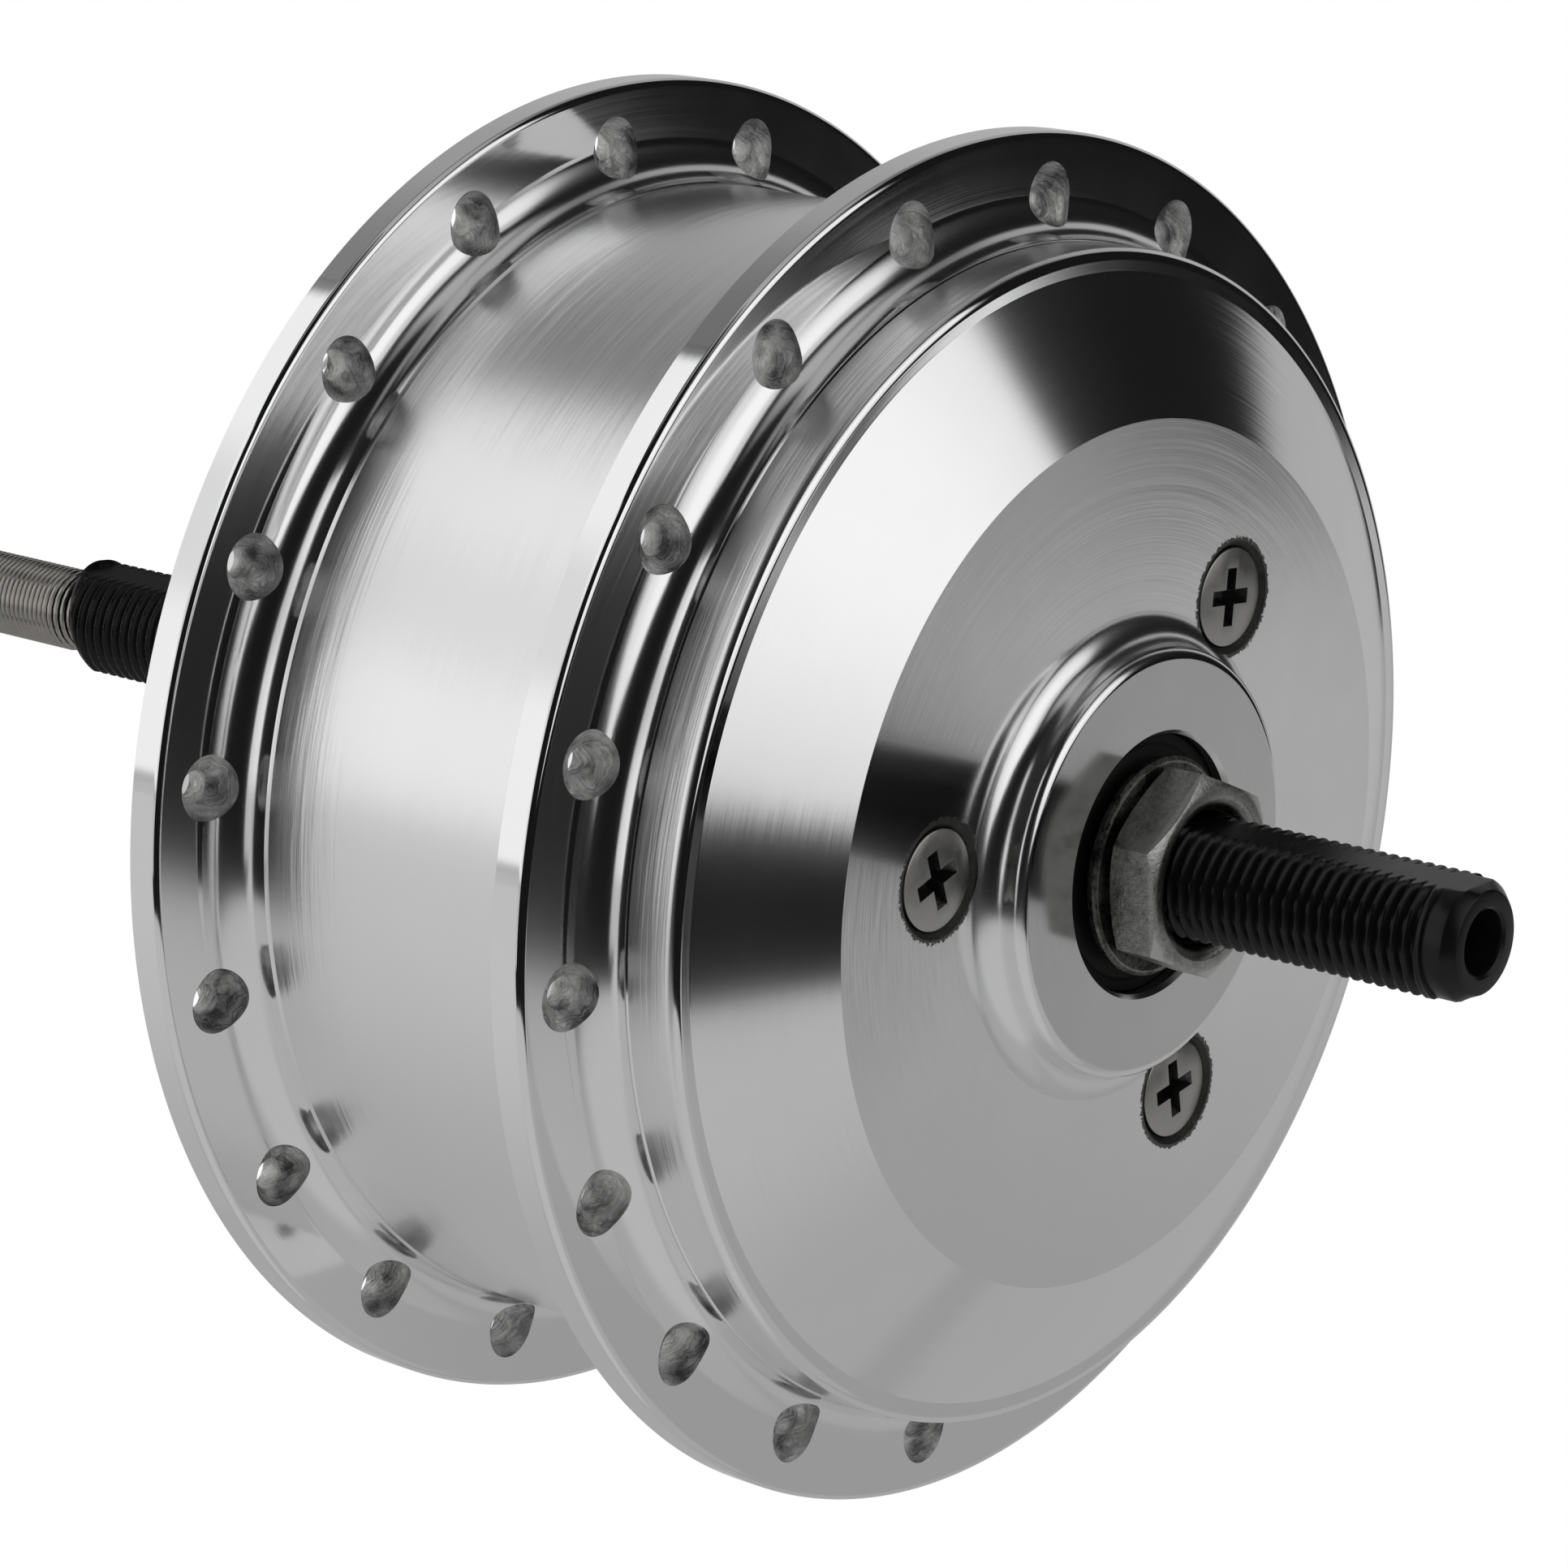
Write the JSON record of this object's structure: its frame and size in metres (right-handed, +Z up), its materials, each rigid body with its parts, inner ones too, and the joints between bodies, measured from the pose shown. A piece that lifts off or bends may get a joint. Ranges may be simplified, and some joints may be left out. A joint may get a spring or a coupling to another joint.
{
  "type": "front hub motor",
  "caption": "Geared front hub motor: a polished aluminium hub with spoke flanges turns on a fixed, flatted, threaded axle, with the motor cable leaving through one axle end in a spring.",
  "frame": {"origin": "on the axle, midway between the outer faces of the two locknuts, which seat against the fork's dropouts", "axes": "+Y along the axle towards the end that the cable leaves by, -Y towards the cover with the screws, +Z up, square to the axle's flats"},
  "size_m": [0.1403, 0.3361, 0.128],
  "materials": {
    "black_axle_steel": "black oxide",
    "dull_zinc_steel": "dull zinc, slightly worn",
    "plain_steel": "machined",
    "polished_aluminium": "polished, with fine turning lines on the drum and the cone",
    "cover_aluminium": "satin turned face with a polished lip and boss",
    "screw_nickel": "nickel plated",
    "seal_rubber": "matt black",
    "bearing_steel": "ground",
    "gear_steel": "dark machined steel",
    "planet_nylon": "natural nylon",
    "bronze": "oiled bronze",
    "spring_steel": "bright drawn wire",
    "rotor_steel": "phosphated",
    "magnet_nickel": "nickel plated",
    "support_aluminium": "machined",
    "lamination_steel": "stacked laminations",
    "liner_plastic": "moulded",
    "enamelled_copper": "enamelled wire",
    "board_green": "solder mask",
    "lead_insulation": "sleeved",
    "cable_black": "satin black jacket",
    "tie_fabric": "woven strap",
    "plug_black": "moulded",
    "plug_insert": "moulded",
    "seal_orange": "moulded"
  },
  "bodies": {
    "axle": {"axle": "black_axle_steel", "near_locknut": "dull_zinc_steel", "far_locknut": "dull_zinc_steel", "near_spacer": "plain_steel", "far_spacer": "plain_steel", "gear_spacer": "plain_steel", "near_bearing_inner": "bearing_steel", "far_bearing_inner": "bearing_steel", "rotor_bearing_inners": "bearing_steel", "planet_carrier": "plain_steel", "planet_pins": "bearing_steel", "planet_clips": "spring_steel", "clutch_race": "bearing_steel", "clutch_rollers": "bearing_steel", "stator_support": "support_aluminium", "stator_core": "lamination_steel", "slot_liners": "liner_plastic", "windings": "enamelled_copper", "stator_key": "plain_steel", "hall_board": "board_green", "phase_leads": "lead_insulation", "cable_spring": "spring_steel", "motor_cable": "cable_black", "cable_coil": "cable_black", "cable_tail": "cable_black", "cable_tie": "tie_fabric", "connector_body": "plug_black", "connector_insert": "plug_insert", "connector_seal": "seal_orange"},
    "hub": {"hub_shell": "polished_aluminium", "near_cover": "cover_aluminium", "cover_screws": "screw_nickel", "bearing_retainer": "plain_steel", "near_seal": "seal_rubber", "far_seal": "seal_rubber", "near_bearing_outer": "bearing_steel", "far_bearing_outer": "bearing_steel", "ring_gear": "gear_steel"},
    "rotor": {"rotor_can": "rotor_steel", "magnets": "magnet_nickel", "sun_gear": "gear_steel", "sun_gear_screws": "screw_nickel", "rotor_bearing_outers": "bearing_steel"},
    "planet_1": {"planet_gear_1": "planet_nylon", "planet_bushing_1": "bronze"},
    "planet_2": {"planet_gear_2": "planet_nylon", "planet_bushing_2": "bronze"},
    "planet_3": {"planet_gear_3": "planet_nylon", "planet_bushing_3": "bronze"},
    "near_bearing_cage": {"near_bearing_balls": "bearing_steel"},
    "far_bearing_cage": {"far_bearing_balls": "bearing_steel"},
    "rotor_bearing_cages": {"rotor_bearing_balls": "bearing_steel"}
  },
  "joints": [
    {"name": "hub_spin", "type": "hinge", "parent": "axle", "child": "hub", "pos_m": [0, 0, 0], "axis": [0, 1, 0], "continuous": true},
    {"name": "rotor_spin", "type": "hinge", "parent": "axle", "child": "rotor", "pos_m": [0, 0, 0], "axis": [0, 1, 0], "continuous": true},
    {"name": "planet_1_spin", "type": "hinge", "parent": "axle", "child": "planet_1", "pos_m": [0, -0.02, 0.027], "axis": [0, 1, 0], "continuous": true},
    {"name": "planet_2_spin", "type": "hinge", "parent": "axle", "child": "planet_2", "pos_m": [-0.02338, -0.02, -0.0135], "axis": [0, 1, 0], "continuous": true},
    {"name": "planet_3_spin", "type": "hinge", "parent": "axle", "child": "planet_3", "pos_m": [0.02338, -0.02, -0.0135], "axis": [0, 1, 0], "continuous": true},
    {"name": "near_cage_spin", "type": "hinge", "parent": "axle", "child": "near_bearing_cage", "pos_m": [0, 0, 0], "axis": [0, 1, 0], "continuous": true},
    {"name": "far_cage_spin", "type": "hinge", "parent": "axle", "child": "far_bearing_cage", "pos_m": [0, 0, 0], "axis": [0, 1, 0], "continuous": true},
    {"name": "rotor_cages_spin", "type": "hinge", "parent": "axle", "child": "rotor_bearing_cages", "pos_m": [0, 0, 0], "axis": [0, 1, 0], "continuous": true}
  ],
  "couplings": [
    {"joint": "rotor_spin", "follows": "hub_spin", "ratio": -4.4},
    {"joint": "planet_1_spin", "follows": "hub_spin", "ratio": 2.5882},
    {"joint": "planet_2_spin", "follows": "hub_spin", "ratio": 2.5882},
    {"joint": "planet_3_spin", "follows": "hub_spin", "ratio": 2.5882},
    {"joint": "near_cage_spin", "follows": "hub_spin", "ratio": 0.62},
    {"joint": "far_cage_spin", "follows": "hub_spin", "ratio": 0.60851},
    {"joint": "rotor_cages_spin", "follows": "hub_spin", "ratio": -2.4763}
  ]
}
